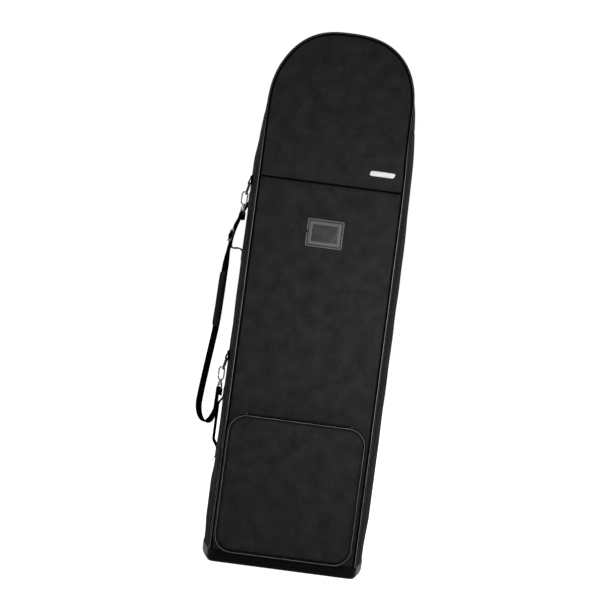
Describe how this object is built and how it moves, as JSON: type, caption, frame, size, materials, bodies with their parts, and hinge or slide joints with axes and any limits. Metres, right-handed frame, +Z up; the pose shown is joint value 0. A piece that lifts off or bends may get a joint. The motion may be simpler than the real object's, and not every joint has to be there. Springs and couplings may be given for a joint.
{
  "type": "golf travel case",
  "caption": "Tall soft golf travel case with an arched zipped front flap, front pocket, moulded boot, rear wheels, side handles and a clip-on shoulder strap.",
  "frame": {"origin": "middle of the boot's flat underside, on the floor", "axes": "+Z up along the case's height, -Y towards the front flap, +X to the right as seen from the front; the shoulder strap is on the -X side"},
  "size_m": [0.4506, 0.3345, 1.2759],
  "materials": {
    "panel_cloth": "matte woven polyester",
    "gusset_cloth": "matte woven polyester over foam",
    "piping": "glossy vinyl",
    "boot": "satin moulded vinyl",
    "board": "matte board",
    "zip_tape": "woven tape with nylon coil",
    "moulding": "fine-textured black nylon",
    "buckle": "smooth black acetal",
    "tyre": "matte urethane",
    "hub": "grey nylon",
    "steel": "zinc-plated steel",
    "rivet": "satin aluminium",
    "dark_metal": "black nickel plate",
    "chrome": "polished nickel plate",
    "pull": "moulded black rubber",
    "webbing": "ribbed polypropylene webbing",
    "strap_pad": "grained non-slip pad",
    "liner": "quilted foam liner",
    "card_frame": "grey embossed vinyl",
    "card_window": "clear vinyl",
    "card": "dark card",
    "badge": "white satin stitch"
  },
  "bodies": {
    "case": {"back_panel": "gusset_cloth", "case_gusset": "gusset_cloth", "base_boot": "boot", "base_board": "board", "rear_piping": "piping", "zip_tape_case": "zip_tape", "skid_rails": "moulding", "rail_rivets": "rivet", "wheel_housing_left": "moulding", "wheel_housing_right": "moulding", "axle_left": "steel", "axle_right": "steel", "crown_pad": "liner", "interior_straps": "webbing", "buckle_female_upper": "buckle", "buckle_female_lower": "buckle", "ring_tab_upper": "webbing", "ring_tab_lower": "webbing", "d_ring_upper": "dark_metal", "d_ring_lower": "dark_metal", "snap_hook_upper": "chrome", "snap_hook_lower": "chrome", "side_handle_upper": "webbing", "side_handle_lower": "webbing", "tow_handle": "webbing"},
    "flap": {"flap_panel_lower": "panel_cloth", "flap_panel_hood": "panel_cloth", "flap_gusset": "gusset_cloth", "front_piping": "piping", "zip_tape_flap": "zip_tape", "id_frame": "card_frame", "id_window": "card_window", "id_card": "card", "blank_badge": "badge", "pocket_shell": "panel_cloth", "pocket_piping": "piping", "pocket_zip": "zip_tape"},
    "wheel_left": {"tyre_left": "tyre", "hub_left": "hub", "bearings_left": "steel"},
    "wheel_right": {"tyre_right": "tyre", "hub_right": "hub", "bearings_right": "steel"},
    "strap": {"swivel_eye_upper": "chrome", "swivel_eye_lower": "chrome", "shoulder_strap": "webbing", "shoulder_pad": "strap_pad", "strap_adjuster": "buckle"},
    "gate_upper": {"snap_gate_upper": "chrome"},
    "gate_lower": {"snap_gate_lower": "chrome"},
    "slider_upper": {"main_slider_upper": "dark_metal"},
    "slider_lower": {"main_slider_lower": "dark_metal"},
    "pull_upper": {"main_pull_upper": "pull"},
    "pull_lower": {"main_pull_lower": "pull"},
    "pocket_slider": {"pocket_slider": "chrome"},
    "pocket_pull": {"pocket_pull": "pull"},
    "buckle_upper": {"buckle_male_upper": "buckle"},
    "buckle_lower": {"buckle_male_lower": "buckle"}
  },
  "joints": [
    {"name": "flap_open", "type": "hinge", "parent": "case", "child": "flap", "pos_m": [0, -0.14, 0.03], "axis": [1, 0, 0], "range_deg": [0, 88]},
    {"name": "wheel_left_spin", "type": "hinge", "parent": "case", "child": "wheel_left", "pos_m": [-0.148, 0.115, 0.034], "axis": [1, 0, 0], "continuous": true},
    {"name": "wheel_right_spin", "type": "hinge", "parent": "case", "child": "wheel_right", "pos_m": [0.148, 0.115, 0.034], "axis": [1, 0, 0], "continuous": true},
    {"name": "strap_swing", "type": "hinge", "parent": "case", "child": "strap", "pos_m": [-0.202, -0.06, 0.6], "axis": [0, 0, 1], "range_deg": [-38, 20]},
    {"name": "gate_upper_press", "type": "hinge", "parent": "case", "child": "gate_upper", "pos_m": [-0.2085, -0.06, 0.85579], "axis": [0, 1, 0], "range_deg": [0, 25], "stiffness_Nm_per_rad": 0.02, "springref_deg": -17.19},
    {"name": "gate_lower_press", "type": "hinge", "parent": "case", "child": "gate_lower", "pos_m": [-0.2085, -0.06, 0.43179], "axis": [0, 1, 0], "range_deg": [0, 25], "stiffness_Nm_per_rad": 0.02, "springref_deg": -17.19},
    {"name": "slider_upper_run", "type": "slide", "parent": "case", "child": "slider_upper", "axis": [0, 0, 1], "range_m": [0, 0.66]},
    {"name": "slider_lower_run", "type": "slide", "parent": "case", "child": "slider_lower", "axis": [0, 0, 1], "range_m": [-0.18, 0]},
    {"name": "pull_upper_lift", "type": "hinge", "parent": "slider_upper", "child": "pull_upper", "pos_m": [-0.18165, -0.118, 0.2576], "axis": [0, 1, 0], "range_deg": [0, 130]},
    {"name": "pull_lower_lift", "type": "hinge", "parent": "slider_lower", "child": "pull_lower", "pos_m": [-0.18165, -0.118, 0.243], "axis": [0, 1, 0], "range_deg": [0, 35]},
    {"name": "pocket_slider_run", "type": "slide", "parent": "flap", "child": "pocket_slider", "axis": [1, 0, 0], "range_m": [0, 0.2]},
    {"name": "pocket_pull_lift", "type": "hinge", "parent": "pocket_slider", "child": "pocket_pull", "pos_m": [-0.121, -0.15149, 0.3582], "axis": [0, -0.972, -0.2348], "range_deg": [0, 150]},
    {"name": "buckle_upper_release", "type": "slide", "parent": "case", "child": "buckle_upper", "axis": [1, 0, 0], "range_m": [0, 0.025]},
    {"name": "buckle_lower_release", "type": "slide", "parent": "case", "child": "buckle_lower", "axis": [1, 0, 0], "range_m": [0, 0.025]}
  ]
}
